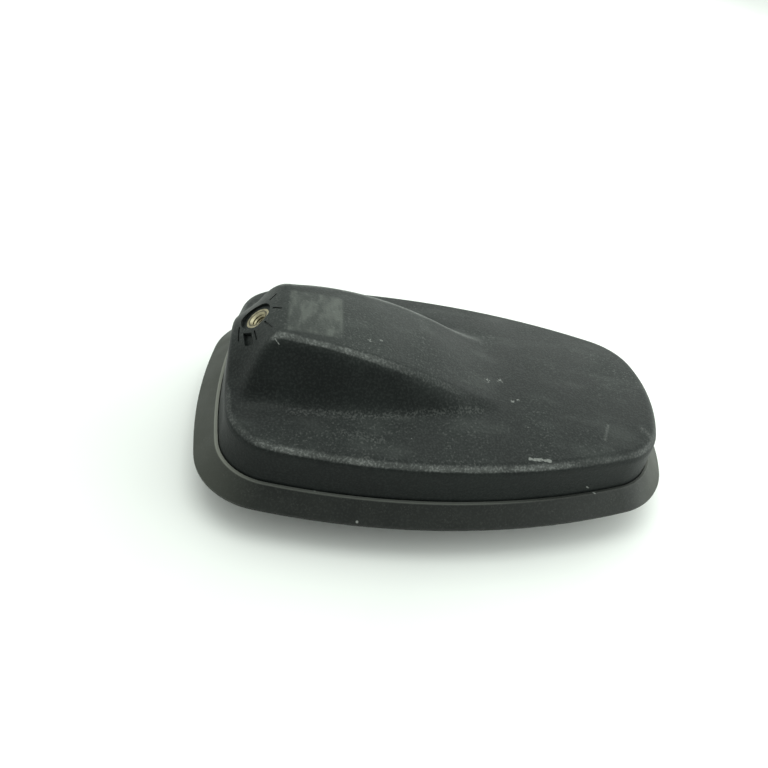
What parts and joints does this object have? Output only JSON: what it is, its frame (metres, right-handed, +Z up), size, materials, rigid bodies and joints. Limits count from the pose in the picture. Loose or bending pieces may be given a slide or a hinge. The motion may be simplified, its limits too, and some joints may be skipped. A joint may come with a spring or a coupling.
{
  "type": "car roof antenna base",
  "caption": "Low humped roof antenna base with a flared gasket, a threaded seat for a raked mast and a positioning receiver inside.",
  "frame": {"origin": "axis of the fixing thread on the roof plane, where the gasket's foot lies", "axes": "+X towards the rounded nose, -X the mast end, +Z up from the roof"},
  "size_m": [0.145, 0.09, 0.0478],
  "materials": {
    "cover_plastic": "finely grained moulded black, scuffed",
    "gasket_rubber": "matte dark grey rubber",
    "cast_base": "as cast",
    "screw_steel": "zinc plated",
    "insert_brass": "turned, tarnished",
    "contact_bronze": "plated spring strip",
    "board_laminate": "green resist",
    "pad_foam": "adhesive foam",
    "patch_ceramic": "fired, unglazed",
    "silver_face": "fired silver",
    "can_steel": "tinned",
    "chip_plastic": "moulded",
    "filter_ceramic": "plated",
    "choke_ferrite": "moulded ferrite",
    "radio_socket_plastic": "moulded",
    "gps_socket_plastic": "moulded",
    "insulator_plastic": "turned"
  },
  "bodies": {
    "root": {"cover": "cover_plastic", "roof_gasket": "gasket_rubber", "base_plate": "cast_base", "roof_neck": "cast_base", "fixing_bush": "screw_steel", "cover_screws": "screw_steel", "mast_insert": "insert_brass", "mast_contact": "contact_bronze", "circuit_board": "board_laminate", "board_screws": "screw_steel", "patch_pad": "pad_foam", "gps_patch": "patch_ceramic", "patch_electrode": "silver_face", "patch_feed_pin": "silver_face", "shield_can": "can_steel", "amplifier_chip": "chip_plastic", "band_filter": "filter_ceramic", "choke": "choke_ferrite", "chip_parts": "filter_ceramic", "radio_socket_housing": "radio_socket_plastic", "radio_socket_shell": "contact_bronze", "radio_socket_insulator": "insulator_plastic", "radio_socket_pin": "contact_bronze", "gps_socket_housing": "gps_socket_plastic", "gps_socket_shell": "contact_bronze", "gps_socket_insulator": "insulator_plastic", "gps_socket_pin": "contact_bronze"}
  },
  "joints": []
}
